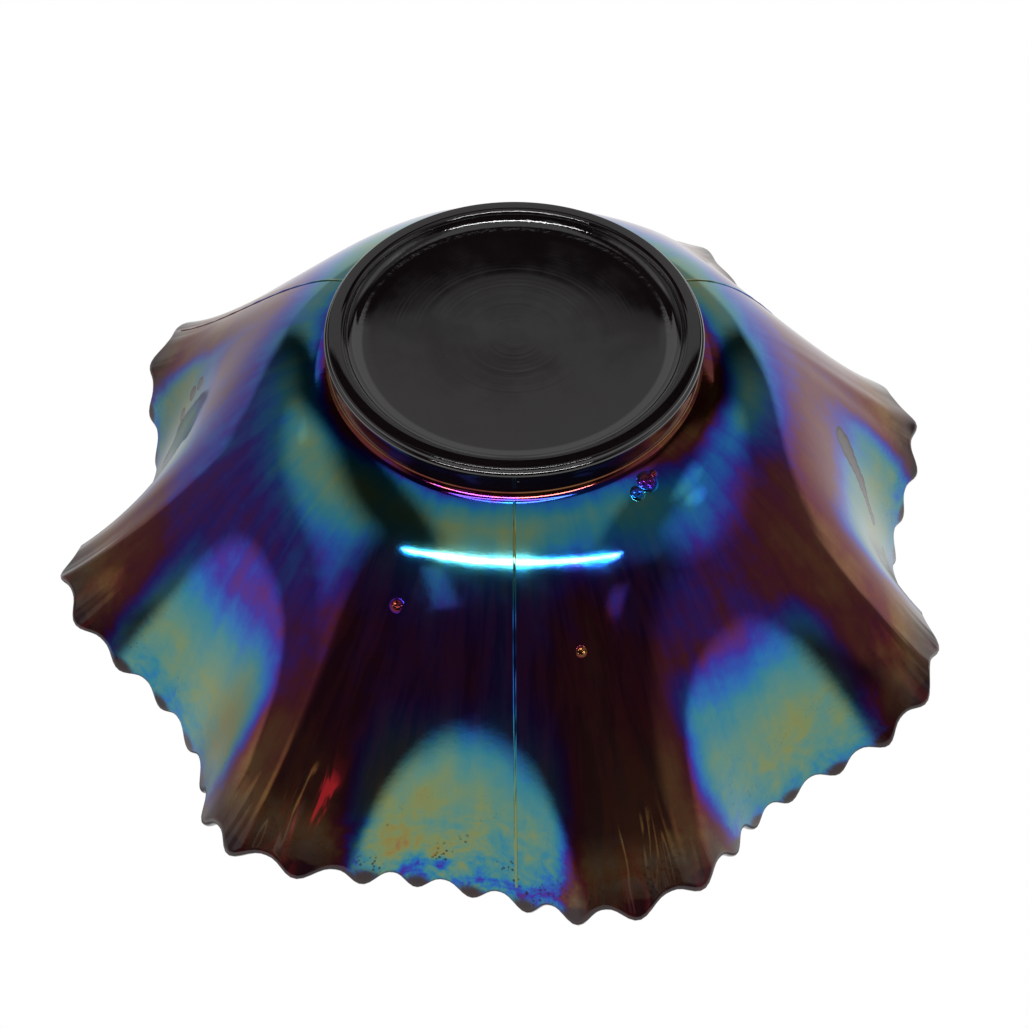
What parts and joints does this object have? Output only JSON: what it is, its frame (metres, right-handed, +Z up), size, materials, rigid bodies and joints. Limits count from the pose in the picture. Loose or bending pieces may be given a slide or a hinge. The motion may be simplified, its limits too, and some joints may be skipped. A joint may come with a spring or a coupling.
{
  "type": "ruffled glass bowl",
  "caption": "Dark amethyst pressed-glass bowl with a ruffled, scalloped rim, an iridescent skin and a plain collar foot.",
  "frame": {"origin": "centre of the foot ring's underside, on the surface that the bowl stands on", "axes": "+Z up, out of the bowl's opening; -Y towards the front mould seam; +X to the right"},
  "size_m": [0.222, 0.222, 0.0787],
  "materials": {
    "amethyst_glass": "fire-polished black amethyst, so dark that it looks opaque except at thin edges",
    "iridised_glass": "black amethyst under a fired-on metallic salt film, with blue, violet, teal and gold interference colours"
  },
  "bodies": {
    "root": {"foot_ring": "amethyst_glass", "base_disc": "amethyst_glass", "bowl_well": "iridised_glass", "ruffled_side": "iridised_glass", "scalloped_rim": "iridised_glass", "mould_seams": "iridised_glass"}
  },
  "joints": []
}
